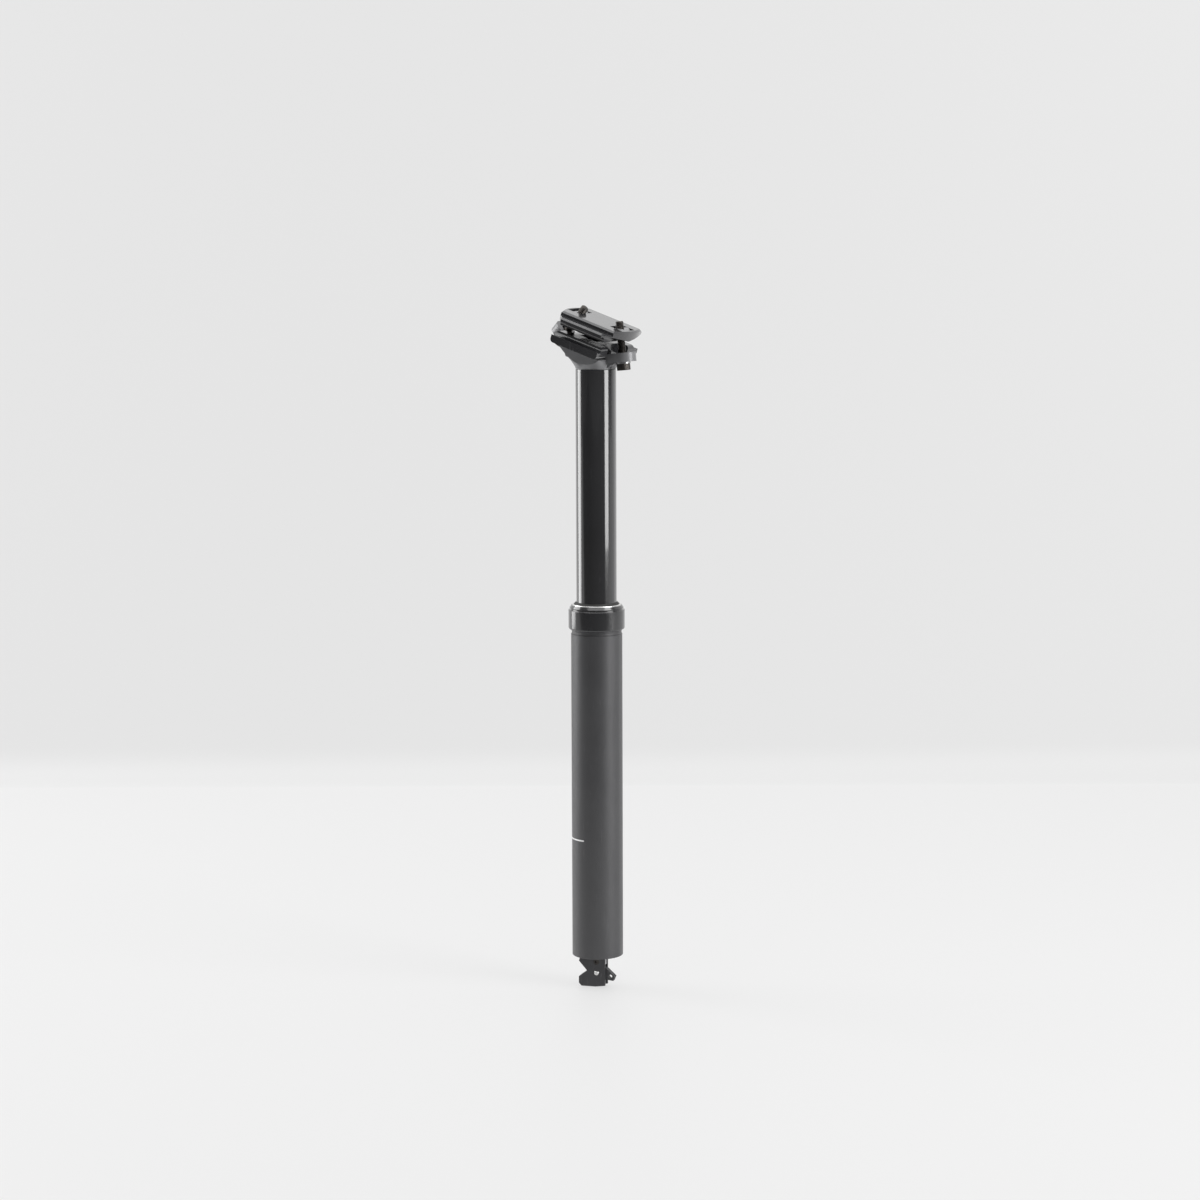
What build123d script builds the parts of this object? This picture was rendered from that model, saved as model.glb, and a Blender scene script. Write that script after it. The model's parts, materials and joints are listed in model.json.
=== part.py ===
from build123d import *
import os
from math import cos, radians, sin, sqrt, tan

# Height-adjustable bicycle seatpost, in millimetres.
# +Z runs up the post, +X points to the front of the bicycle, and the origin is on the post's
# axis at the underside of the collar. The post is at its full height and the saddle clamp is open.

# Telescope
tube_r = 15.8
tube_bore_r = 14.0
tube_bottom_z = -205.0
neck_r = 15.0
neck_top_z = 9.0
stanchion_r = 12.5
stanchion_bore_r = 11.0
stanchion_bottom_z = -59.5
head_joint_z = 160.0
travel = 130.0
running_gap = 0.05
seat_gap = 0.02
collar_r = 17.4
collar_top_z = 15.0
key_centre_r = 13.25
key_r = 1.5
key_low_z = -59.0
key_high_z = -47.0
key_angles = (90, 210, 330)

# Gas spring cartridge
cartridge_r = 10.7
cartridge_bore_r = 8.9
cartridge_low_z = -56.0
cartridge_high_z = 140.0
piston_low_z = -44.0
piston_high_z = -32.0
floating_low_z = 96.0
floating_high_z = 103.0
shaft_r = 4.0
shaft_bore_r = 1.06
shaft_low_z = -199.9
shaft_high_z = -28.0
release_rod_r = 1.0
plug_low_z = -202.0
plug_high_z = -193.5

# Saddle clamp: r runs forward along the rails, n is square to them, and both start at clamp_z
rail_tilt = 18.0
clamp_z = 178.4
rail_r = 3.5
rail_y = 22.0
rail_n = 1.0
closing_travel = 3.5
wing_y = 24.0
wing_half = 17.0
wing_low_n = -6.5
block_half = 11.0
block_y = 12.0
crown_r = 17.0
table_half_y = 15.0
table_n = -8.3
crown_n = -24.0
bolt_splay = 24.0
bolt_ref_r = 12.4
bolt_ref_n = 16.0
bolt_end_n = 15.6
bolt_r = 2.5
bolt_head_r = 4.25
bolt_head_height = 4.0
washer_r = 4.6
washer_low_s = 5.3
dome_r = 8.0
ear_low_s = 6.3
ear_high_s = 11.9
ear_y = 6.8
nut_r = 3.25
nut_n = 8.9
nut_length = 14.0
yoke_low_n = 4.2
yoke_wing_top_n = 9.7
yoke_top_n = 12.2
yoke_rib_half_y = 16.2
nose_low_r = 16.0
nose_slope = 15.0
nose_corner_y = 17.0
nose_corner_n = 7.4

# Actuator, turned about the post from the saddle clamp's plane
actuator_turn = 15.0
plate_inner_y = 2.2
plate_outer_y = 3.7
lever_y = 1.9
pivot_z = -216.6
pivot_r = 1.5
set_screw_r = 1.9
set_screw_z = -209.3
cam_offset = 2.865
cam_r = 4.0
lever_pull = 18.0
stop_z = -221.4
stop_r = 2.1

tilt = radians(rail_tilt)
splay = radians(bolt_splay)
clamp_plane = Plane(
    origin=(0, 0, clamp_z),
    x_dir=(cos(tilt), 0, -sin(tilt)),
    z_dir=(sin(tilt), 0, cos(tilt)),
)
# The bolt's swing centre is the foot of the square from the crown's axis to the bolt's axis.
swing_reach = -bolt_ref_r * sin(splay) + (bolt_ref_n - crown_n) * cos(splay)
swing_r = bolt_ref_r + swing_reach * sin(splay)
swing_n = bolt_ref_n - swing_reach * cos(splay)
nut_rest_r = bolt_ref_r + (bolt_ref_n - nut_n) * tan(splay)
nut_shift = closing_travel * tan(splay)
bolt_end_s = (bolt_end_n - swing_n) / cos(splay)


def tube(outer_r, inner_r, low_z, high_z):
    """A plain sleeve on the post's axis."""
    height = high_z - low_z
    sleeve = Cylinder(outer_r, height) - Cylinder(inner_r, height + 2)
    return Pos(0, 0, (low_z + high_z) / 2) * sleeve


def rod(radius, low_z, high_z):
    """A plain cylinder on the post's axis."""
    return Pos(0, 0, (low_z + high_z) / 2) * Cylinder(radius, high_z - low_z)


def turned(points):
    """A turned solid from an outline of (radius, z) points."""
    outline = Polyline([(x, 0, z) for x, z in points], close=True)
    return revolve(make_face(outline), Axis.Z, 360)


def slab(x_low, x_high, y_low, y_high, z_low, z_high):
    """A box from its limits."""
    centre = Pos((x_low + x_high) / 2, (y_low + y_high) / 2, (z_low + z_high) / 2)
    return centre * Box(x_high - x_low, y_high - y_low, z_high - z_low)


def across(radius, half_length, x, z):
    """A cylinder along Y."""
    return Pos(x, 0, z) * Rot(90, 0, 0) * Cylinder(radius, 2 * half_length)


def along(radius, half_length, y, z):
    """A cylinder along X."""
    return Pos(0, y, z) * Rot(0, 90, 0) * Cylinder(radius, 2 * half_length)


def plate(points, low_y, high_y):
    """A flat plate from an outline of (x, z) points, between two values of Y."""
    outline = Polyline([(x, low_y, z) for x, z in points], close=True)
    return extrude(make_face(outline), high_y - low_y, dir=(0, 1, 0))


def in_clamp(shape):
    """Place a shape drawn as (r, Y, n) in the post's frame."""
    return clamp_plane.location * shape


def at_bolt(side, shape):
    """Place a shape drawn on a bolt's swing centre, with Z up the bolt; side is 1 front, -1 rear."""
    place = Pos(side * swing_r, 0, swing_n) * Rot(0, -side * bolt_splay, 0)
    return place * shape


def turned_actuator(shape):
    return Rot(0, 0, actuator_turn) * shape


# Lower tube and collar

def outer_tube():
    body = turned([
        (tube_bore_r, tube_bottom_z), (tube_r - 0.3, tube_bottom_z), (tube_r, tube_bottom_z + 0.3),
        (tube_r, -2.8), (tube_r - 0.5, -2.4), (tube_r - 0.5, -1.0), (tube_r - 0.1, -0.6),
        (tube_r - 0.1, 0), (neck_r, 0), (neck_r, neck_top_z), (tube_bore_r, neck_top_z),
    ])
    keyway_low = key_low_z - travel - 1
    keyway_high = key_high_z + 1
    for angle in key_angles:
        keyway = Pos(key_centre_r, 0, 0) * rod(key_r + running_gap, keyway_low, keyway_high)
        body -= Rot(0, 0, angle) * keyway
    return body - tube(14.7, tube_bore_r - 1, -204.4, -203.4)


def collar():
    lip_r = 13.0
    seal_seat_z = 12.6
    return turned([
        (16.1, 0), (collar_r - 1.2, 0), (collar_r - 0.35, 0.35), (collar_r, 1.2),
        (collar_r, collar_top_z - 3.0), (collar_r - 0.3, collar_top_z - 2.7),
        (collar_r - 1.1, collar_top_z - 2.6), (collar_r - 1.1, collar_top_z - 1.9),
        (collar_r - 0.7, collar_top_z - 1.6), (15.7, collar_top_z), (15.0, collar_top_z),
        (15.0, seal_seat_z), (lip_r, seal_seat_z), (lip_r, neck_top_z + seat_gap),
        (neck_r + seat_gap, neck_top_z + seat_gap), (neck_r + seat_gap, 1.2), (16.1, 1.2),
    ])


def collar_o_ring():
    return Pos(0, 0, 0.6) * Torus(15.56, 0.5)


def wiper_ring():
    return turned([
        (14.0, 12.62), (14.98, 12.62), (14.98, 15.3), (14.7, 15.6), (14.0, 15.6),
    ])


def wiper_seal():
    lip_r = stanchion_r + 0.06
    return turned([
        (lip_r, 16.8), (lip_r + 0.4, 16.8), (13.2, 16.3), (13.6, 16.2), (13.97, 15.7),
        (13.97, 12.62), (13.1, 12.62),
        (13.1, 14.4), (lip_r, 15.9),
    ])


def upper_bush():
    return tube(tube_bore_r - seat_gap, stanchion_r + running_gap, -18.0, neck_top_z - seat_gap)


def tube_end_plug():
    body = rod(tube_bore_r - seat_gap, plug_low_z, plug_high_z)
    tongue = turned_actuator(slab(-4.5, 5.2, -2.15, 2.15, -211.4, plug_low_z + 1))
    body += tongue
    body -= rod(shaft_r + seat_gap, shaft_low_z - 0.1, plug_high_z + 1)
    body -= rod(release_rod_r + 0.15, -213, plug_high_z)
    dimple = across(set_screw_r, 1.0, 0, set_screw_z)
    for side in (-1, 1):
        body -= turned_actuator(Pos(0, side * 2.75, 0) * dimple)
    return body


def plug_retaining_ring():
    ring = tube(14.65, 12.1, -204.35, -203.45)
    return ring - turned_actuator(slab(0, 16, -2.5, 2.5, -206, -202))


# Gas spring

def hex_nut(across_flats, bore_r, low_z, high_z):
    nut = extrude(RegularPolygon(across_flats / sqrt(3), 6), high_z - low_z)
    return Pos(0, 0, low_z) * nut - rod(bore_r, low_z - 1, high_z + 1)


def cartridge_shaft():
    return tube(shaft_r, shaft_bore_r, shaft_low_z, shaft_high_z)


def shaft_lock_nut():
    return hex_nut(12.0, shaft_r + seat_gap, plug_high_z + seat_gap, -190.5)


def main_piston():
    body = tube(cartridge_bore_r - running_gap, shaft_r + seat_gap, piston_low_z, piston_high_z)
    return body - tube(10.0, 7.6, -39.5, -36.5)


def piston_seal():
    return tube(cartridge_bore_r - 0.02, 7.62, -39.4, -36.6)


def piston_nut():
    return hex_nut(10.0, shaft_r + seat_gap, piston_high_z + seat_gap, -28.6)


def cartridge_tube():
    return tube(cartridge_r, cartridge_bore_r, cartridge_low_z, cartridge_high_z)


def cartridge_cap():
    inner = rod(cartridge_bore_r - seat_gap, 130.5, cartridge_high_z + 1)
    return inner + rod(cartridge_r, cartridge_high_z + seat_gap, 144.0)


def shaft_gland():
    flange_top = cartridge_low_z - seat_gap
    body = rod(cartridge_bore_r - seat_gap, flange_top - 1, piston_low_z - 0.1)
    body += rod(cartridge_r, -57.5, flange_top)
    body -= rod(shaft_r + running_gap, -60, -40)
    return body - tube(5.6, 3.0, -52.0, -49.0)


def shaft_seal():
    return tube(5.58, shaft_r + 0.03, -51.9, -49.1)


def cartridge_retaining_ring():
    return tube(11.55, 9.6, -58.45, -57.55) - slab(0, 14, -2, 2, -60, -56)


def floating_piston():
    body = rod(cartridge_bore_r - running_gap, floating_low_z, floating_high_z)
    body -= rod(5.5, floating_low_z + 3, floating_high_z + 1)
    return body - tube(10.0, 7.6, 98.5, 101.0)


def floating_piston_seal():
    return tube(cartridge_bore_r - 0.02, 7.62, 98.55, 100.95)


def release_rod():
    pull = radians(lever_pull)
    reach = sqrt((cam_r + release_rod_r) ** 2 - (cam_offset * cos(pull)) ** 2)
    tip_z = pivot_z + cam_offset * sin(pull) + reach + 0.03
    return rod(release_rod_r, tip_z, shaft_high_z - 1) + Pos(0, 0, tip_z) * Sphere(release_rod_r)


# Upper tube

def stanchion():
    body = tube(stanchion_r, stanchion_bore_r, stanchion_bottom_z, head_joint_z)
    for angle in key_angles:
        slot = Pos(key_centre_r, 0, 0) * rod(key_r + seat_gap, key_low_z, key_high_z)
        body -= Rot(0, 0, angle) * slot
    return body - tube(11.6, stanchion_bore_r - 1, -58.5, -57.5)


def guide_keys():
    key = Pos(key_centre_r, 0, 0) * rod(key_r, key_low_z + 0.05, key_high_z - 0.05)
    return Compound([Rot(0, 0, angle) * key for angle in key_angles])


def lower_bush():
    return tube(tube_bore_r - running_gap, stanchion_r + seat_gap, -45.0, -27.0)


# Head

def flared_neck():
    """The neck runs from the tube's round joint to a sloping table, cut flat beside the rails."""
    joint = head_joint_z + 0.15
    round_end = Pos(0, 0, joint + 0.8) * Circle(stanchion_r)
    table = clamp_plane.offset(table_n) * (Pos(-1.0, 0, 0) * RectangleRounded(31, 42, 9))
    body = loft([round_end, table])
    body += rod(stanchion_r, joint + 0.3, joint + 0.8)
    body += rod(stanchion_r - 0.4, joint, joint + 0.3)
    return body & slab(-40, 40, -table_half_y, table_half_y, 140, 200)


def ear(side):
    """The lug that a clamp bolt pulls on, with its rounded end beyond the bolt."""
    thickness = ear_high_s - ear_low_s
    lug = Pos(1.6 * side, 0, 0) * Cylinder(ear_y, thickness)
    lug += Pos(side * -3.7, 0, 0) * Box(10.6, 2 * ear_y, thickness)
    return at_bolt(side, Pos(0, 0, (ear_high_s + ear_low_s) / 2) * lug)


def ear_root(side):
    """The web that carries an ear down into the neck."""
    points = [(17.4, -9.4), (17.9, -10.6), (14, -16), (6, -16), (6, -12), (12.9, -11.6), (12.9, -7.5)]
    return plate([(side * r, n) for r, n in points], -5.5, 5.5)


def ear_openings(side):
    """The slot that lets the bolt swing, the washer's domed seat and room for the bolt's head."""
    slot = Pos(0, 0, ear_low_s) * extrude(SlotCenterToCenter(2.6, 5.8), 12, both=True)
    head_room = Pos(0, 0, (ear_low_s - 6) / 2) * Cylinder(5.5, ear_low_s + 6)
    return at_bolt(side, slot + Sphere(dome_r + 0.2) + head_room)


def crown():
    """The barrel-shaped seat that the cradle rocks on."""
    barrel = across(crown_r, 10.0, 0, crown_n)
    return barrel & slab(-block_half - 1.7, block_half + 1.7, -14, 14, -12.4, 0)


def head():
    joint = head_joint_z + 0.15
    body = clamp_plane.location.inverse() * flared_neck()
    for side in (1, -1):
        body += ear(side) + ear_root(side)
    body -= slab(-block_half - 1.7, block_half + 1.7, -block_y - 0.6, block_y + 0.6, -11.6, 60)
    body += crown()
    for side in (1, -1):
        body -= ear_openings(side)
    body = in_clamp(body) - slab(-60, 60, -30, 30, 100, joint)
    return body + rod(stanchion_bore_r - seat_gap, 144.05, joint + 1)


# Saddle clamp, drawn as (r, Y, n)

def rail_grooves(centre_n):
    grooves = along(rail_r, 40, rail_y, centre_n)
    return grooves + along(rail_r, 40, -rail_y, centre_n)


def lower_cradle():
    body = slab(-block_half, block_half, -block_y - 1, block_y + 1, -10.0, 0.5)
    for side in (-1, 1):
        wing = slab(-wing_half, wing_half, 12.0, wing_y, wing_low_n, 0.5)
        wing = fillet(wing.edges().filter_by(Axis.Y), 2.2)
        if side < 0:
            wing = mirror(wing, Plane.XZ)
        body += wing
    body -= slab(-block_half - 1, block_half + 1, block_y, 30, -20, wing_low_n)
    body -= slab(-block_half - 1, block_half + 1, -30, -block_y, -20, wing_low_n)
    body -= across(crown_r + running_gap, 40, 0, crown_n)
    body -= rail_grooves(rail_n)
    body -= slab(-6, 6, -9, 9, -2.5, 5)
    return in_clamp(body)


def yoke_outline():
    """Straight sides beside the rails, and ends that bulge round the cross nuts."""
    front = ThreePointArc((16.5, -wing_y), (22.6, 0), (16.5, wing_y))
    rear = ThreePointArc((-13.5, wing_y), (-22.6, 0), (-13.5, -wing_y))
    left = Line((16.5, wing_y), (-13.5, wing_y))
    right = Line((-13.5, -wing_y), (16.5, -wing_y))
    return make_face([front, left, rear, right])


def nut_pocket(side):
    """A slot the cross nut slides in, open above, with a slanted way through for the bolt."""
    inner = nut_rest_r
    outer = nut_rest_r + nut_shift
    pocket = across(nut_r + 0.06, nut_length / 2 + 0.3, inner, nut_n)
    pocket += across(nut_r + 0.06, nut_length / 2 + 0.3, outer, nut_n)
    pocket += slab(inner, outer, -7.3, 7.3, nut_n - nut_r - 0.06, nut_n + 1)
    pocket += slab(inner - 4.3, outer + nut_r + 0.06, -7.3, 7.3, nut_n, 20)
    way = extrude(SlotCenterToCenter(nut_shift, 5.8), 30, both=True)
    lean = Pos(bolt_ref_r + nut_shift / 2, 0, bolt_ref_n) * Rot(0, -bolt_splay, 0) * way
    pocket += lean
    return pocket if side > 0 else mirror(pocket, Plane.YZ)


def bevelled(outline, high_n, bevel):
    block = Pos(0, 0, yoke_low_n) * extrude(outline, high_n - yoke_low_n)
    return chamfer(block.faces().sort_by(Axis.Z)[-1].edges(), bevel)


def nose_relief(side):
    """What is cut away below an end of the yoke: V-shaped across it and rising outwards."""
    points = [
        (0, yoke_low_n), (nose_corner_y, nose_corner_n), (30, nose_corner_n), (30, -5),
        (-30, -5), (-30, nose_corner_n), (-nose_corner_y, nose_corner_n),
    ]
    across_yoke = Plane(origin=(nose_low_r, 0, 0), x_dir=(0, 1, 0), z_dir=(1, 0, 0))
    face = across_yoke * make_face(Polyline(*points, close=True))
    slope = radians(nose_slope)
    relief = extrude(face, 12, dir=(cos(slope), 0, sin(slope)))
    return relief if side > 0 else mirror(relief, Plane.YZ)


def upper_clamp():
    outline = yoke_outline()
    body = bevelled(outline, yoke_wing_top_n, 0.8)
    body += bevelled(outline & Rectangle(60, 2 * yoke_rib_half_y), yoke_top_n, 1.1)
    body -= rail_grooves(rail_n + closing_travel)
    for side in (-1, 1):
        body -= nut_pocket(side)
        body -= nose_relief(side)
    body -= slab(-9.5, 9.5, -14, 14, 0, 7.5)
    return in_clamp(body)


def barrel_nut(side):
    nut = across(nut_r, nut_length / 2, side * nut_rest_r, nut_n)
    thread = at_bolt(side, Cylinder(bolt_r + running_gap, 120))
    return in_clamp(nut - thread)


def seat_washer(side):
    dome = Sphere(dome_r) & Pos(0, 0, washer_low_s + 5) * Cylinder(washer_r, 10)
    return in_clamp(at_bolt(side, dome - Cylinder(bolt_r + 0.08, 40)))


def clamp_bolt(side):
    head_top = washer_low_s - seat_gap
    head_low = head_top - bolt_head_height
    shank = Pos(0, 0, (head_top + bolt_end_s) / 2) * Cylinder(bolt_r, bolt_end_s - head_top)
    shank = chamfer(shank.faces().sort_by(Axis.Z)[-1].edges(), 0.5)
    cap = Pos(0, 0, head_low + bolt_head_height / 2) * Cylinder(bolt_head_r, bolt_head_height)
    cap = chamfer(cap.faces().sort_by(Axis.Z)[0].edges(), 0.4)
    socket = Pos(0, 0, head_low) * extrude(RegularPolygon(4.0 / sqrt(3), 6), 2.4)
    return in_clamp(at_bolt(side, shank + cap - socket))


# Actuator, drawn with X along the cable and then turned

def actuator_bracket():
    """Two plates joined by a web at the foot, under a flange that sits in the tube's end."""
    body = plate(
        [
            (5.6, -203.0), (5.6, -224.4), (-0.5, -225.2), (-9.6, -225.2), (-11.3, -223.4),
            (-11.3, -219.3), (-5.9, -215.4), (-11.2, -209.3), (-9.6, -203.0),
        ],
        -plate_outer_y, plate_outer_y,
    )
    body += rod(tube_bore_r - 0.1, -203.4, plug_low_z - seat_gap)
    body -= slab(-7.4, 20, -plate_inner_y, plate_inner_y, -230, -203.4)
    body -= slab(-20, 0, -plate_inner_y, plate_inner_y, -216.5, -203.4)
    body -= slab(-4.7, 5.4, -plate_inner_y, plate_inner_y, -206, -200)
    body -= across(pivot_r + seat_gap, 10, 0, pivot_z)
    body -= across(set_screw_r + seat_gap, 10, 0, set_screw_z)
    body -= Pos(-9.4, 0, stop_z) * Rot(0, 90, 0) * Cylinder(stop_r, 3.8 + 0.4)
    body -= Pos(-9, 0, stop_z) * Rot(0, 90, 0) * Cylinder(0.8, 12)
    return turned_actuator(body)


def bracket_set_screws():
    screws = []
    for side in (-1, 1):
        screw = across(set_screw_r, 0.85, 0, set_screw_z)
        socket = Rot(90, 0, 0) * extrude(RegularPolygon(2.0 / sqrt(3), 6), 1.0)
        screw = Pos(0, side * 2.65, 0) * screw
        mouth_y = 3.6 if side > 0 else -2.6
        screws.append(turned_actuator(screw - Pos(0, mouth_y, set_screw_z) * socket))
    return Compound(screws)


def lever_pivot_pin():
    pin = across(pivot_r, plate_outer_y + 0.2, 0, pivot_z)
    return turned_actuator(chamfer(pin.edges().filter_by(GeomType.CIRCLE), 0.2))


def actuator_lever():
    body = across(cam_r, lever_y, -cam_offset, pivot_z)
    body += plate(
        [
            (0, -214.6), (4.2, -213.2), (5.8, -213.4), (11.6, -218.6), (10.5, -221.4),
            (5.1, -220.7), (-2.4, -220.5),
        ],
        -lever_y, lever_y,
    )
    body -= across(pivot_r + running_gap, 10, 0, pivot_z)
    body -= across(1.25, 10, 8.6, -218.7)
    body -= slab(8.6, 14, -0.45, 0.45, -219.0, -217.4)
    return turned_actuator(body)


nodes = {
    "outer_tube": outer_tube,
    "collar": collar,
    "collar_o_ring": collar_o_ring,
    "wiper_ring": wiper_ring,
    "wiper_seal": wiper_seal,
    "upper_bush": upper_bush,
    "tube_end_plug": tube_end_plug,
    "plug_retaining_ring": plug_retaining_ring,
    "cartridge_shaft": cartridge_shaft,
    "shaft_lock_nut": shaft_lock_nut,
    "main_piston": main_piston,
    "piston_seal": piston_seal,
    "piston_nut": piston_nut,
    "actuator_bracket": actuator_bracket,
    "bracket_set_screws": bracket_set_screws,
    "lever_pivot_pin": lever_pivot_pin,
    "stanchion": stanchion,
    "head": head,
    "lower_bush": lower_bush,
    "guide_keys": guide_keys,
    "cartridge_tube": cartridge_tube,
    "cartridge_cap": cartridge_cap,
    "shaft_gland": shaft_gland,
    "shaft_seal": shaft_seal,
    "cartridge_retaining_ring": cartridge_retaining_ring,
    "floating_piston": floating_piston,
    "floating_piston_seal": floating_piston_seal,
    "lower_cradle": lower_cradle,
    "upper_clamp": upper_clamp,
    "actuator_lever": actuator_lever,
    "release_rod": release_rod,
}

os.makedirs("parts", exist_ok=True)
for name, build in nodes.items():
    export_step(build(), f"parts/{name}.step")
for place, side in (("front", 1), ("rear", -1)):
    export_step(barrel_nut(side), f"parts/barrel_nut_{place}.step")
    export_step(seat_washer(side), f"parts/seat_washer_{place}.step")
    export_step(clamp_bolt(side), f"parts/clamp_bolt_{place}.step")
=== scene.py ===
import json
from math import radians, sin, cos
import bpy
import bmesh
import numpy as np
from mathutils import Vector, Matrix


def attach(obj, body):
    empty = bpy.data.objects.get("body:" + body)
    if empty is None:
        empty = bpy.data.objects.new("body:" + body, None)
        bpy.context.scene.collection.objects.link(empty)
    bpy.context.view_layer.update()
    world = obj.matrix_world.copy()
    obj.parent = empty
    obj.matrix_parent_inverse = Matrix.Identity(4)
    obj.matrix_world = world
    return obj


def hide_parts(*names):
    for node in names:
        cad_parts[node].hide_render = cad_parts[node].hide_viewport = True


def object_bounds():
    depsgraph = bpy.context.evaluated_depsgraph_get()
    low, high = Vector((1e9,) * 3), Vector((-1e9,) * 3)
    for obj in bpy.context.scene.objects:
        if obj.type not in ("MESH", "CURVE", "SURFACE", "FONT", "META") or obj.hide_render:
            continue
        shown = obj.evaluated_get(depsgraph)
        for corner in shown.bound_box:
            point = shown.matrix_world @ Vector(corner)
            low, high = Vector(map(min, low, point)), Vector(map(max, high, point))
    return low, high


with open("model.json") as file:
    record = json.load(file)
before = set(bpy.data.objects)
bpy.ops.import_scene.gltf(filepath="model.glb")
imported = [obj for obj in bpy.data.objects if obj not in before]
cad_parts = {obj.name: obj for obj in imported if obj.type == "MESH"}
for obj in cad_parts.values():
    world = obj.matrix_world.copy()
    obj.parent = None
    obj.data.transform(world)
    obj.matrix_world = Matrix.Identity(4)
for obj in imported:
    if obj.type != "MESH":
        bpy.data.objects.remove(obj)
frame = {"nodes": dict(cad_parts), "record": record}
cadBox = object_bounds()
mm = 0.001
print("stage: frame loaded")

# where the camera, lights and backdrop go; angles in degrees, lengths in metres
studio = {
    "azimuth": 31.0,
    "elevation": 7.8,
    "distance": 2.03,
    "aim": (0.0021, 0.0178),  # sideways and up from the origin
    "roll": -0.19,
    "lens": 99.0,
    "wallBehind": 0.68,
    "coveRadius": 0.03,
    "floorColor": (0.12, 0.12, 0.12),
    "floorGlow": 0.630,
    "floorPaler": 1.01,  # the floor's second colour against its first
    "floorRoughness": 0.6,
    "floorCloud": 1.5,
    "floorGrain": 300.0,
    "floorReach": 4.0,  # to each side, towards the camera and up
    "floorGap": 0.0004,  # left between the floor and the lowest point of the part
    "coveSteps": 13,
    "glowFrom": -0.56,  # nearer the camera than this the floor doesn't glow; zero is the post
    "glowRise": 8.0,  # share of the full glow gained per metre behind that
    "sensor": 36.0,
    "farClip": 20.0,
    "roomLight": 0.15,
}


def newMaterial(name):
    mat = bpy.data.materials.new(name)
    mat.use_nodes = True
    tree = mat.node_tree
    return mat, tree, tree.nodes["Principled BSDF"]


def addNode(tree, kind, **settings):
    node = tree.nodes.new(kind)
    for key, value in settings.items():
        setattr(node, key, value)
    return node


# a value is either a number or another node's output
def mathNode(tree, operation, *values, clamp=False):
    node = addNode(tree, "ShaderNodeMath", operation=operation, use_clamp=clamp)
    for socket, value in zip(node.inputs, values):
        if isinstance(value, (int, float)):
            socket.default_value = value
        else:
            tree.links.new(value, socket)
    return node.outputs[0]


def objectCoords(tree):
    return addNode(tree, "ShaderNodeTexCoord").outputs["Object"]


# the range of values that a map range node reads
def readFrom(node, low, high):
    node.inputs["From Min"].default_value = low
    node.inputs["From Max"].default_value = high


def splitXYZ(tree, vector):
    node = addNode(tree, "ShaderNodeSeparateXYZ")
    tree.links.new(vector, node.inputs[0])
    return node.outputs


def startGroup(name, inputs, outputs):
    group = bpy.data.node_groups.new(name, "ShaderNodeTree")
    for label, kind, value in inputs:
        socket = group.interface.new_socket(name=label, in_out="INPUT", socket_type=kind)
        if value is not None:
            socket.default_value = value
    for label, kind in outputs:
        group.interface.new_socket(name=label, in_out="OUTPUT", socket_type=kind)
    return group, group.nodes.new("NodeGroupInput"), group.nodes.new("NodeGroupOutput")


# how each shared effect is built; scales, depths and amounts are set where a group is placed
effects = {
    "fineDetail": 2.0,
    "fineRoughness": 0.6,
    "cloudDetail": 4.0,
    "cloudRange": (0.25, 0.75),  # the part of the cloud noise that is spread over a finish's range
    "scuffStretch": (9.0, 9.0, 1.0),
    "scuffTurn": (0.4, 0.9, 0.2),
    "scuffDetail": 3.0,
    "scuffCut": (0.64, 0.74),  # only noise above this range shows as a scuff
    "scuffRoughness": 0.25,
    "ringDetail": 3.0,
    "bumpDepth": 0.0002,
}


# grain: a fine noise as the height for bump, and a coarse one as a cloud for colour and roughness
def makeGrainGroup():
    group, start, end = startGroup(
        "grain",
        [
            ("Vector", "NodeSocketVector", None),
            ("Fine Scale", "NodeSocketFloat", 4000.0),
            ("Coarse Scale", "NodeSocketFloat", 60.0),
        ],
        [("Height", "NodeSocketFloat"), ("Cloud", "NodeSocketFloat")],
    )
    fine = addNode(group, "ShaderNodeTexNoise")
    fine.inputs["Detail"].default_value = effects["fineDetail"]
    fine.inputs["Roughness"].default_value = effects["fineRoughness"]
    coarse = addNode(group, "ShaderNodeTexNoise")
    coarse.inputs["Detail"].default_value = effects["cloudDetail"]
    for node, label in ((fine, "Fine Scale"), (coarse, "Coarse Scale")):
        group.links.new(start.outputs["Vector"], node.inputs["Vector"])
        group.links.new(start.outputs[label], node.inputs["Scale"])
    group.links.new(fine.outputs["Fac"], end.inputs["Height"])
    group.links.new(coarse.outputs["Fac"], end.inputs["Cloud"])
    return group


# scuffs: stretched noise cut high, so only a few thin light scratches are left
def makeScuffGroup():
    group, start, end = startGroup(
        "scuffs",
        [
            ("Vector", "NodeSocketVector", None),
            ("Scale", "NodeSocketFloat", 90.0),
            ("Amount", "NodeSocketFloat", 0.3),
        ],
        [("Mask", "NodeSocketFloat")],
    )
    stretch = addNode(group, "ShaderNodeMapping")
    stretch.inputs["Scale"].default_value = effects["scuffStretch"]
    stretch.inputs["Rotation"].default_value = effects["scuffTurn"]
    noise = addNode(group, "ShaderNodeTexNoise")
    noise.inputs["Detail"].default_value = effects["scuffDetail"]
    group.links.new(start.outputs["Vector"], stretch.inputs["Vector"])
    group.links.new(stretch.outputs["Vector"], noise.inputs["Vector"])
    group.links.new(start.outputs["Scale"], noise.inputs["Scale"])
    cut = addNode(group, "ShaderNodeMapRange")
    readFrom(cut, *effects["scuffCut"])
    group.links.new(noise.outputs["Fac"], cut.inputs["Value"])
    scaled = mathNode(group, "MULTIPLY", cut.outputs["Result"], start.outputs["Amount"])
    group.links.new(scaled, end.inputs["Mask"])
    return group


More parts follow.
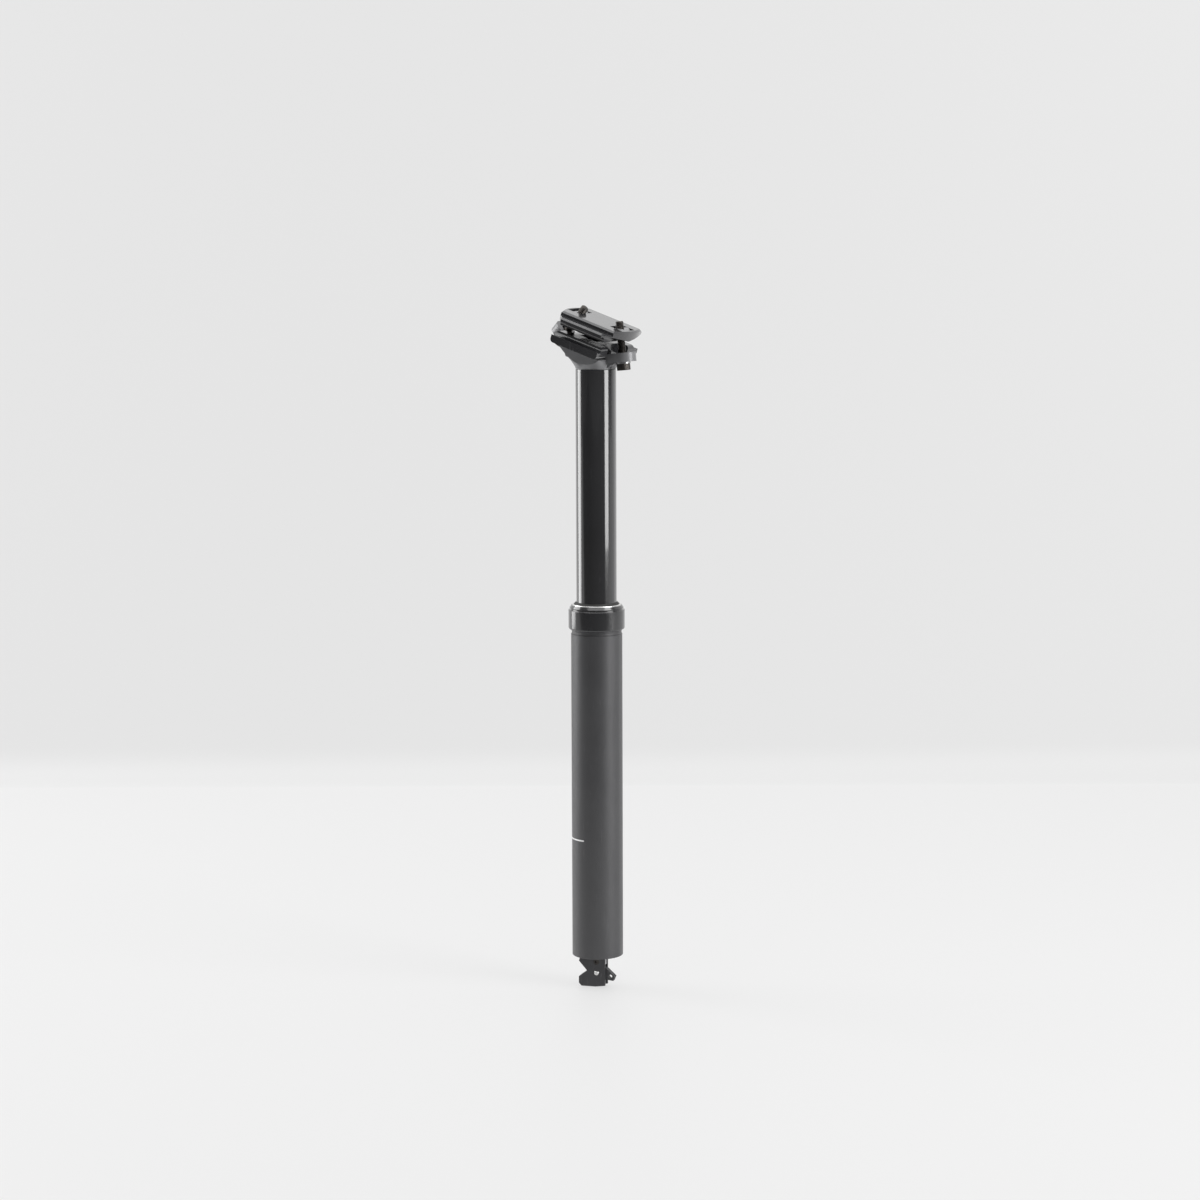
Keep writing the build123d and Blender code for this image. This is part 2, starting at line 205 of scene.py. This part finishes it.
# turning marks: fine rings square to the post's axis, uneven in depth
def makeTurningGroup():
    group, start, end = startGroup(
        "turningMarks",
        [("Vector", "NodeSocketVector", None), ("Pitch", "NodeSocketFloat", 5000.0)],
        [("Height", "NodeSocketFloat")],
    )
    height = splitXYZ(group, start.outputs["Vector"])["Z"]
    along = mathNode(group, "MULTIPLY", height, start.outputs["Pitch"])
    line = addNode(group, "ShaderNodeTexNoise", noise_dimensions="1D")
    line.inputs["Scale"].default_value = 1.0
    line.inputs["Detail"].default_value = effects["ringDetail"]
    group.links.new(along, line.inputs["W"])
    group.links.new(line.outputs["Fac"], end.inputs["Height"])
    return group


groups = {
    "grain": makeGrainGroup(),
    "scuffs": makeScuffGroup(),
    "turning": makeTurningGroup(),
}


def placeGroup(tree, key, vector, **values):
    node = addNode(tree, "ShaderNodeGroup", node_tree=groups[key])
    tree.links.new(vector, node.inputs["Vector"])
    for label, value in values.items():
        node.inputs[label.replace("_", " ")].default_value = value
    return node


def mixColor(tree, factor, first, second):
    node = addNode(tree, "ShaderNodeMix", data_type="RGBA")
    tree.links.new(factor, node.inputs["Factor"])
    # the two colour sockets share their names with the float ones, so they are taken by place
    for socket, value in ((node.inputs[6], first), (node.inputs[7], second)):
        if isinstance(value, tuple):
            socket.default_value = (*value, 1.0)
        else:
            tree.links.new(value, socket)
    return node.outputs[2]


def bumpFrom(tree, height, strength, under=None):
    node = addNode(tree, "ShaderNodeBump")
    node.inputs["Strength"].default_value = strength
    node.inputs["Distance"].default_value = effects["bumpDepth"]
    tree.links.new(height, node.inputs["Height"])
    if under is not None:
        tree.links.new(under, node.inputs["Normal"])
    return node.outputs["Normal"]


def spread(tree, value, low, high):
    node = addNode(tree, "ShaderNodeMapRange")
    readFrom(node, *effects["cloudRange"])
    node.inputs["To Min"].default_value = low
    node.inputs["To Max"].default_value = high
    tree.links.new(value, node.inputs["Value"])
    return node.outputs["Result"]


# what a finish has when its own entry doesn't say
plainFinish = {
    "metallic": 0.0,
    "coat": 0.0,
    "coatRoughness": 0.05,
    "specular": 0.5,
    "scuff": 0.2,
    "scuffScale": 90.0,
    "scuffColor": (0.35, 0.35, 0.36),
    "turning": 0.0,
    "pitch": 5000.0,
}


# one metal or plastic finish: base colour clouded towards a second, grain bump, scuffs, turning
def makeFinish(name, own):
    look = {**plainFinish, **own}
    mat, tree, shader = newMaterial(name)
    vector = objectCoords(tree)
    grain = placeGroup(
        tree, "grain", vector, Fine_Scale=look["grainScale"], Coarse_Scale=look["cloudScale"]
    )
    cloud = grain.outputs["Cloud"]
    scuff = placeGroup(tree, "scuffs", vector, Scale=look["scuffScale"], Amount=look["scuff"])
    mask = scuff.outputs["Mask"]
    clouded = mixColor(tree, spread(tree, cloud, 0.0, 1.0), look["color"], look["colorTwo"])
    tree.links.new(mixColor(tree, mask, clouded, look["scuffColor"]), shader.inputs["Base Color"])
    rougher = mathNode(tree, "MULTIPLY", mask, effects["scuffRoughness"])
    rough = mathNode(tree, "ADD", spread(tree, cloud, *look["roughness"]), rougher, clamp=True)
    tree.links.new(rough, shader.inputs["Roughness"])
    shader.inputs["Metallic"].default_value = look["metallic"]
    shader.inputs["Coat Weight"].default_value = look["coat"]
    shader.inputs["Coat Roughness"].default_value = look["coatRoughness"]
    shader.inputs["Specular IOR Level"].default_value = look["specular"]
    normal = bumpFrom(tree, grain.outputs["Height"], look["grainBump"])
    if look["turning"] > 0:
        rings = placeGroup(tree, "turning", vector, Pitch=look["pitch"])
        normal = bumpFrom(tree, rings.outputs["Height"], look["turning"], under=normal)
    tree.links.new(normal, shader.inputs["Normal"])
    return mat


finishes = {
    "polishedBlack": {
        "color": (0.02, 0.02, 0.021), "colorTwo": (0.026, 0.026, 0.028), "grainScale": 2500.0,
        "cloudScale": 25.0, "roughness": (0.1, 0.15), "grainBump": 0.02, "metallic": 0.0,
        "coat": 1.0, "coatRoughness": 0.04, "specular": 0.6, "scuff": 0.03, "turning": 0.03,
        "pitch": 9000.0,
    },
    "blastedGrey": {
        "color": (0.055, 0.055, 0.058), "colorTwo": (0.066, 0.066, 0.069),
        "grainScale": 3200.0, "cloudScale": 40.0, "roughness": (0.34, 0.42), "grainBump": 0.5,
        "metallic": 0.3, "specular": 0.8, "scuff": 0.05,
    },
    "glossBlack": {
        "color": (0.018, 0.018, 0.019), "colorTwo": (0.024, 0.024, 0.026),
        "grainScale": 2000.0, "cloudScale": 60.0, "roughness": (0.16, 0.24), "grainBump": 0.04,
        "coat": 0.8, "coatRoughness": 0.08, "scuff": 0.06, "turning": 0.05,
    },
    "brightTurned": {
        "color": (0.86, 0.86, 0.85), "colorTwo": (0.78, 0.78, 0.78), "grainScale": 1800.0,
        "cloudScale": 80.0, "roughness": (0.18, 0.28), "grainBump": 0.05, "metallic": 1.0,
        "scuff": 0.05, "turning": 0.2,
    },
    "sealRubber": {
        "color": (0.012, 0.012, 0.012), "colorTwo": (0.022, 0.022, 0.021),
        "grainScale": 2200.0, "cloudScale": 120.0, "roughness": (0.55, 0.7), "grainBump": 0.25,
        "scuff": 0.0,
    },
    "bearingPlastic": {
        "color": (0.7, 0.67, 0.58), "colorTwo": (0.62, 0.6, 0.52), "grainScale": 1500.0,
        "cloudScale": 60.0, "roughness": (0.4, 0.55), "grainBump": 0.1, "scuff": 0.1,
    },
    "keyBrass": {
        "color": (0.72, 0.5, 0.2), "colorTwo": (0.6, 0.41, 0.17), "grainScale": 2500.0,
        "cloudScale": 150.0, "roughness": (0.22, 0.36), "grainBump": 0.08, "metallic": 1.0,
        "turning": 0.1,
    },
    "forgedGrey": {
        "color": (0.19, 0.19, 0.196), "colorTwo": (0.22, 0.22, 0.226), "grainScale": 2600.0,
        "cloudScale": 90.0, "roughness": (0.34, 0.44), "grainBump": 0.3, "metallic": 0.3,
        "coat": 0.15, "coatRoughness": 0.2, "scuff": 0.1,
    },
    "clampGloss": {
        "color": (0.02, 0.02, 0.022), "colorTwo": (0.032, 0.032, 0.035), "grainScale": 2400.0,
        "cloudScale": 70.0, "roughness": (0.16, 0.25), "grainBump": 0.08, "metallic": 0.1,
        "coat": 0.9, "coatRoughness": 0.06, "scuff": 0.12, "specular": 0.6,
    },
    "blackOxide": {
        "color": (0.048, 0.045, 0.043), "colorTwo": (0.085, 0.077, 0.07), "grainScale": 2600.0,
        "cloudScale": 260.0, "roughness": (0.28, 0.42), "grainBump": 0.12, "metallic": 0.9,
        "scuff": 0.25, "scuffScale": 200.0, "scuffColor": (0.45, 0.43, 0.4),
    },
    "zincSteel": {
        "color": (0.42, 0.42, 0.43), "colorTwo": (0.52, 0.52, 0.52), "grainScale": 2600.0,
        "cloudScale": 220.0, "roughness": (0.26, 0.4), "grainBump": 0.12, "metallic": 1.0,
        "scuff": 0.1,
    },
    "groundSteel": {
        "color": (0.66, 0.66, 0.65), "colorTwo": (0.56, 0.56, 0.56), "grainScale": 2600.0,
        "cloudScale": 200.0, "roughness": (0.16, 0.26), "grainBump": 0.06, "metallic": 1.0,
        "turning": 0.05,
    },
    "innerSteel": {
        "color": (0.28, 0.28, 0.29), "colorTwo": (0.36, 0.36, 0.37), "grainScale": 2600.0,
        "cloudScale": 200.0, "roughness": (0.3, 0.45), "grainBump": 0.15, "metallic": 1.0,
    },
    "innerAluminium": {
        "color": (0.68, 0.68, 0.7), "colorTwo": (0.6, 0.6, 0.62), "grainScale": 2600.0,
        "cloudScale": 100.0, "roughness": (0.25, 0.38), "grainBump": 0.1, "metallic": 1.0,
        "turning": 0.15,
    },
    "actuatorMatte": {
        "color": (0.045, 0.045, 0.048), "colorTwo": (0.062, 0.062, 0.066),
        "grainScale": 3000.0, "cloudScale": 160.0, "roughness": (0.42, 0.55), "grainBump": 0.3,
        "metallic": 0.2, "scuff": 0.2, "scuffScale": 160.0,
    },
}
materials = {name: makeFinish(name, look) for name, look in finishes.items()}
print("stage: finishes made")


# the printed line and ticks on the lower tube: each is a band of height on Z, kept to the turn
# between two angles; the two heights are half of what gets painted
printed = {
    "lineZ": -130.6 * mm,
    "lineHeight": 0.45 * mm,
    "tickHeights": (-134.2 * mm, -135.7 * mm, -137.2 * mm),
    "tickHeight": 0.22 * mm,
    "lineEnd": radians(-91.0),
    "tickSpan": (radians(-156.0), radians(-141.0)),
    "color": (0.80, 0.80, 0.80),
}


def bandMask(tree, value, middle, half):
    offset = mathNode(tree, "ABSOLUTE", mathNode(tree, "SUBTRACT", value, middle))
    return mathNode(tree, "LESS_THAN", offset, half)


def addPrint(mat):
    tree = mat.node_tree
    shader = tree.nodes["Principled BSDF"]
    place = splitXYZ(tree, objectCoords(tree))
    turn = mathNode(tree, "ARCTAN2", place["Y"], place["X"])
    line = bandMask(tree, place["Z"], printed["lineZ"], printed["lineHeight"])
    line = mathNode(tree, "MULTIPLY", line, mathNode(tree, "LESS_THAN", turn, printed["lineEnd"]))
    first, last = printed["tickSpan"]
    beside = bandMask(tree, turn, (first + last) / 2, (last - first) / 2)
    mask = line
    for height in printed["tickHeights"]:
        tick = bandMask(tree, place["Z"], height, printed["tickHeight"])
        mask = mathNode(tree, "MAXIMUM", mask, mathNode(tree, "MULTIPLY", tick, beside))
    under = shader.inputs["Base Color"].links[0].from_socket
    tree.links.new(mixColor(tree, mask, under, printed["color"]), shader.inputs["Base Color"])


addPrint(materials["blastedGrey"])


# which node wears which finish
finishOf = {
    "polishedBlack": ["stanchion"],
    "blastedGrey": ["outer_tube"],
    "glossBlack": ["collar"],
    "brightTurned": ["wiper_ring"],
    "sealRubber": [
        "wiper_seal", "collar_o_ring", "piston_seal", "shaft_seal", "floating_piston_seal",
    ],
    "bearingPlastic": ["upper_bush", "lower_bush"],
    "keyBrass": ["guide_keys"],
    "forgedGrey": ["head"],
    "clampGloss": ["upper_clamp", "lower_cradle"],
    "blackOxide": ["clamp_bolt_front", "clamp_bolt_rear", "bracket_set_screws"],
    "zincSteel": ["barrel_nut_front", "barrel_nut_rear", "seat_washer_front", "seat_washer_rear"],
    "groundSteel": ["lever_pivot_pin", "release_rod", "cartridge_shaft"],
    "innerSteel": [
        "shaft_lock_nut", "piston_nut", "plug_retaining_ring", "cartridge_retaining_ring",
    ],
    "innerAluminium": [
        "tube_end_plug", "main_piston", "cartridge_tube", "cartridge_cap", "shaft_gland",
        "floating_piston",
    ],
    "actuatorMatte": ["actuator_bracket", "actuator_lever"],
}
record = frame["record"]
bodyOf = {
    node: body for body, members in record["behaviour"]["bodies"].items() for node in members
}

for finish, members in finishOf.items():
    for node in members:
        mesh = frame["nodes"][node].data
        mesh.materials.clear()
        mesh.materials.append(materials[finish])
print("stage: finishes placed")


# width in millimetres of the small round on each node, and the sharpest angle in degrees left alone
edgeRounds = {
    "collar": (0.28, 28),
    "head": (0.55, 50),
    "upper_clamp": (0.35, 28),
    "lower_cradle": (0.35, 35),
    "actuator_bracket": (0.18, 28),
    "actuator_lever": (0.22, 28),
    "wiper_ring": (0.12, 28),
}


softening = {
    "mergeWithin": 2e-6,  # metres
    "flatWithin": 1.0,  # faces that differ by less than this many degrees become one
    "segments": 2,
    "normalWeight": 60,
}


# a merged copy of the node with a narrow bevel on every edge sharper than the limit
def softenEdges(node, width, sharpest):
    source = frame["nodes"][node]
    mesh = bpy.data.meshes.new(f"{node}Soft")
    work = bmesh.new()
    work.from_mesh(source.data)
    bmesh.ops.remove_doubles(work, verts=work.verts, dist=softening["mergeWithin"])
    flat = radians(softening["flatWithin"])
    bmesh.ops.dissolve_limit(work, angle_limit=flat, verts=work.verts, edges=work.edges)
    bmesh.ops.recalc_face_normals(work, faces=work.faces)
    work.to_mesh(mesh)
    work.free()
    piece = bpy.data.objects.new(f"{node}Soft", mesh)
    bpy.context.scene.collection.objects.link(piece)
    mesh.materials.append(source.data.materials[0])
    for polygon in mesh.polygons:
        polygon.use_smooth = True
    bevel = piece.modifiers.new("edgeRound", "BEVEL")
    bevel.width = width * mm
    bevel.segments = softening["segments"]
    bevel.limit_method = "ANGLE"
    bevel.angle_limit = radians(sharpest)
    bevel.use_clamp_overlap = True
    bevel.miter_outer = "MITER_ARC"
    smooth = piece.modifiers.new("weighted", "WEIGHTED_NORMAL")
    smooth.keep_sharp = False
    smooth.weight = softening["normalWeight"]
    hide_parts(node)
    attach(piece, bodyOf[node])


for node, (width, sharpest) in edgeRounds.items():
    softenEdges(node, width, sharpest)
print("stage: edges softened")


# lengths in millimetres; the thread's crest stays on the bolt's own radius. The rounds are rows of
# distance from the end they shape and distance inside the full radius
boltLook = {
    "radius": 2.5,
    "pitch": 0.8,
    "threadDepth": 0.40,
    "threadLength": 19.0,
    "headRadius": 4.15,
    "headHeight": 4.0,
    "knurls": 30,
    "knurlDepth": 0.16,
    "socketAcross": 4.0,
    "socketDepth": 2.4,
    "socketChamfer": 0.3,
    "topRound": ((0.0, 0.4), (0.12, 0.12), (0.45, 0.0)),
    "baseRound": ((0.3, 0.0), (0.0, 0.15)),
    "tipRound": ((0.12, 0.38), (0.0, 0.55)),
    "plainTip": 0.5,
    "columns": 120,
    "rowsPerPitch": 8,
    "sharpAngle": 38.0,
}
slack = 0.01  # allowed when rows of the bolt are picked by where they lie, in millimetres


# the bolt's outline as distance along the bolt and radius, from the socket's floor to the tip
def boltOutline(length):
    look = boltLook
    corner = look["socketAcross"] / 3 ** 0.5
    depth, chamfer = look["socketDepth"], look["socketChamfer"]
    socket = [(depth, 0.0), (depth, corner), (chamfer, corner), (0.0, corner + chamfer)]
    top = [(along, look["headRadius"] - inside) for along, inside in look["topRound"]]
    base = [
        (look["headHeight"] - along, look["headRadius"] - inside)
        for along, inside in look["baseRound"]
    ]
    head = socket + top + base + [(look["headHeight"], look["radius"])]
    tip = [(length - along, look["radius"] - inside) for along, inside in look["tipRound"]]
    tip.append((length, 0.0))
    count = int(look["threadLength"] / look["pitch"] * look["rowsPerPitch"])
    along = np.linspace(length - look["threadLength"], length - look["plainTip"], count)
    thread = np.column_stack([along, np.full(count, look["radius"])])
    return np.vstack([head, thread, tip])


# radius at each row and column: a hexagon in the socket, a cosine knurl round the head, and a
# thread cut as a triangle wave of distance along less one pitch per turn
def boltRadii(outline, turn, length):
    look = boltLook
    along, radius = outline[:, :1], outline[:, 1:]
    radii = np.repeat(radius, len(turn), axis=1)
    corner = look["socketAcross"] / 3 ** 0.5
    hexagon = look["socketAcross"] / 2 / np.cos((turn + np.pi / 6) % (np.pi / 3) - np.pi / 6)
    # the socket's wall is the second and third row
    socketRows = (np.arange(len(outline)) > 0) & (np.arange(len(outline)) < 3)
    radii[socketRows] = np.minimum(hexagon, corner)
    knurlRows = radius[:, 0] >= look["headRadius"] - slack
    radii[knurlRows] -= look["knurlDepth"] * (0.5 - 0.5 * np.cos(look["knurls"] * turn))
    phase = (along / look["pitch"] - turn / (2 * np.pi)) % 1.0
    wave = np.abs(phase * 2 - 1)
    fromTip = length - along[:, 0]
    cutRows = (fromTip < look["threadLength"] - slack) & (fromTip > look["plainTip"] - slack)
    radii[cutRows] -= look["threadDepth"] * wave[cutRows]
    return radii


# rings of points round the bolt's own axis, joined row to row and closed at both poles
def makeBolt(node, name, body):
    source = frame["nodes"][node]
    joint = next(j for j in record["behaviour"]["joints"] if j["name"] == f"{body}_turn")
    axis = np.array(joint["axis"], dtype=float)
    axis /= np.linalg.norm(axis)
    anchor = np.array(joint["pos_m"], dtype=float)
    corners = np.empty(len(source.data.vertices) * 3)
    source.data.vertices.foreach_get("co", corners)
    matrix = np.array(source.matrix_world)
    placed = corners.reshape(-1, 3) @ matrix[:3, :3].T + matrix[:3, 3]
    reach = (placed - anchor) @ axis
    foot = anchor + axis * reach.min()
    length = (reach.max() - reach.min()) / mm
    first = np.cross(axis, (0.0, 1.0, 0.0))
    first /= np.linalg.norm(first)
    second = np.cross(axis, first)
    turn = np.arange(boltLook["columns"]) * 2 * np.pi / boltLook["columns"]
    outline = boltOutline(length)
    radii = boltRadii(outline, turn, length)
    ring = np.cos(turn)[:, None] * first + np.sin(turn)[:, None] * second
    points = foot + mm * (outline[:, :1, None] * axis + radii[:, :, None] * ring[None])
    rows, columns = radii.shape
    inner = points[1:-1].reshape(-1, 3)
    vertices = np.vstack([points[0, :1], inner, points[-1, :1]])
    row = np.arange(rows - 3)[:, None] * columns + 1
    here = np.arange(columns)[None, :]
    after = (here + 1) % columns
    quads = np.stack([row + here, row + after, row + after + columns, row + here + columns], axis=2)
    last = (rows - 3) * columns + 1
    tip = len(vertices) - 1
    floor = np.stack([np.zeros_like(here), 1 + after, 1 + here], axis=2)[0]
    cap = np.stack([np.full_like(here, tip), last + here, last + after], axis=2)[0]
    mesh = bpy.data.meshes.new(name)
    faces = quads.reshape(-1, 4).tolist() + floor.tolist() + cap.tolist()
    mesh.from_pydata(vertices.tolist(), [], faces)
    mesh.polygons.foreach_set("use_smooth", np.ones(len(mesh.polygons), dtype=bool))
    mesh.set_sharp_from_angle(angle=radians(boltLook["sharpAngle"]))
    mesh.materials.append(materials["blackOxide"])
    piece = bpy.data.objects.new(name, mesh)
    bpy.context.scene.collection.objects.link(piece)
    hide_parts(node)
    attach(piece, body)


makeBolt("clamp_bolt_front", "threadedBoltFront", "bolt_front")
makeBolt("clamp_bolt_rear", "threadedBoltRear", "bolt_rear")
print("stage: bolts made")


# a floor that turns up into a back wall: the profile is flat, a quarter circle, then upright,
# carried sideways along one straight direction
def makeBackdrop():
    floorZ = cadBox[0][2] - studio["floorGap"]
    turn = radians(studio["azimuth"])
    away = np.array([-sin(turn), cos(turn), 0.0])
    side = np.array([cos(turn), sin(turn), 0.0])
    up = np.array([0.0, 0.0, 1.0])
    radius = studio["coveRadius"]
    wall, reach = studio["wallBehind"], studio["floorReach"]
    angles = np.linspace(0, np.pi / 2, studio["coveSteps"])
    distance = np.concatenate([[-reach], wall + radius * (np.sin(angles) - 1), [wall]])
    height = np.concatenate([[0.0], radius * (1 - np.cos(angles)), [reach]])
    across = np.array([-reach, reach])
    points = (
        np.multiply.outer(distance, away)[:, None, :]
        + np.multiply.outer(height, up)[:, None, :]
        + np.multiply.outer(across, side)[None, :, :]
    )
    points[:, :, 2] += floorZ
    rows = len(distance)
    start = np.arange(rows - 1)[:, None] * 2
    faces = np.hstack([start, start + 1, start + 3, start + 2])
    mesh = bpy.data.meshes.new("backdrop")
    mesh.from_pydata(points.reshape(-1, 3).tolist(), [], faces.tolist())
    for polygon in mesh.polygons:
        polygon.use_smooth = True
    backdrop = bpy.data.objects.new("backdrop", mesh)
    bpy.context.scene.collection.objects.link(backdrop)
    mat, tree, shader = newMaterial("paleFloor")
    vector = objectCoords(tree)
    noise = placeGroup(
        tree, "grain", vector, Fine_Scale=studio["floorGrain"], Coarse_Scale=studio["floorCloud"]
    )
    paler = tuple(value * studio["floorPaler"] for value in studio["floorColor"])
    color = mixColor(tree, noise.outputs["Cloud"], studio["floorColor"], paler)
    tree.links.new(color, shader.inputs["Base Color"])
    shader.inputs["Roughness"].default_value = studio["floorRoughness"]
    shader.inputs["Emission Color"].default_value = (1, 1, 1, 1)
    # the glow fades in with distance along the line that leads away from the camera
    place = splitXYZ(tree, vector)
    partX = mathNode(tree, "MULTIPLY", place["X"], float(away[0]))
    partY = mathNode(tree, "MULTIPLY", place["Y"], float(away[1]))
    ahead = mathNode(tree, "ADD", partX, partY)
    past = mathNode(tree, "SUBTRACT", ahead, studio["glowFrom"])
    fade = mathNode(tree, "MULTIPLY", past, studio["glowRise"], clamp=True)
    glow = mathNode(tree, "MULTIPLY", fade, studio["floorGlow"])
    tree.links.new(glow, shader.inputs["Emission Strength"])
    mesh.materials.append(mat)


# angle round the post from the camera and height angle in degrees, distance and size in metres,
# power in watts
lights = {
    "leftBack": dict(turn=-114, rise=14, distance=1.25, size=(0.85, 1.8), power=19),
    "rightFront": dict(turn=62, rise=24, distance=1.35, size=(0.62, 1.5), power=18),
    "topSoft": dict(turn=0, rise=80, distance=1.9, size=(2.2, 2.2), power=30),
}


def aimAt(obj, place, target):
    obj.location = place
    obj.rotation_euler = (Vector(target) - Vector(place)).to_track_quat("-Z", "Y").to_euler()


def fromCamera(turn, rise, distance):
    angle = radians(studio["azimuth"] + turn)
    lift = radians(rise)
    return (
        distance * sin(angle) * cos(lift),
        -distance * cos(angle) * cos(lift),
        distance * sin(lift),
    )


def makeLights():
    for name, look in lights.items():
        lamp = bpy.data.lights.new(name, "AREA")
        lamp.shape = "RECTANGLE"
        lamp.size, lamp.size_y = look["size"]
        lamp.energy = look["power"]
        obj = bpy.data.objects.new(name, lamp)
        bpy.context.scene.collection.objects.link(obj)
        aimAt(obj, fromCamera(look["turn"], look["rise"], look["distance"]), (0, 0, 0))
    world = bpy.data.worlds.new("softRoom")
    world.use_nodes = True
    room = world.node_tree.nodes["Background"]
    room.inputs["Color"].default_value = (1, 1, 1, 1)
    room.inputs["Strength"].default_value = studio["roomLight"]
    bpy.context.scene.world = world


def makeCamera():
    lens = bpy.data.cameras.new("camera")
    lens.lens = studio["lens"]
    lens.sensor_width = studio["sensor"]
    lens.clip_end = studio["farClip"]
    camera = bpy.data.objects.new("camera", lens)
    bpy.context.scene.collection.objects.link(camera)
    turn = radians(studio["azimuth"])
    sideways, height = studio["aim"]
    target = Vector((sideways * cos(turn), sideways * sin(turn), height))
    place = target + Vector(fromCamera(0, studio["elevation"], studio["distance"]))
    look = (target - place).to_track_quat("-Z", "Y").to_matrix().to_4x4()
    roll = Matrix.Rotation(radians(studio["roll"]), 4, "Z")
    camera.matrix_world = Matrix.Translation(place) @ look @ roll
    bpy.context.scene.camera = camera


makeBackdrop()
makeLights()
makeCamera()
bpy.context.scene.view_settings.view_transform = "Standard"
print("stage: studio ready")
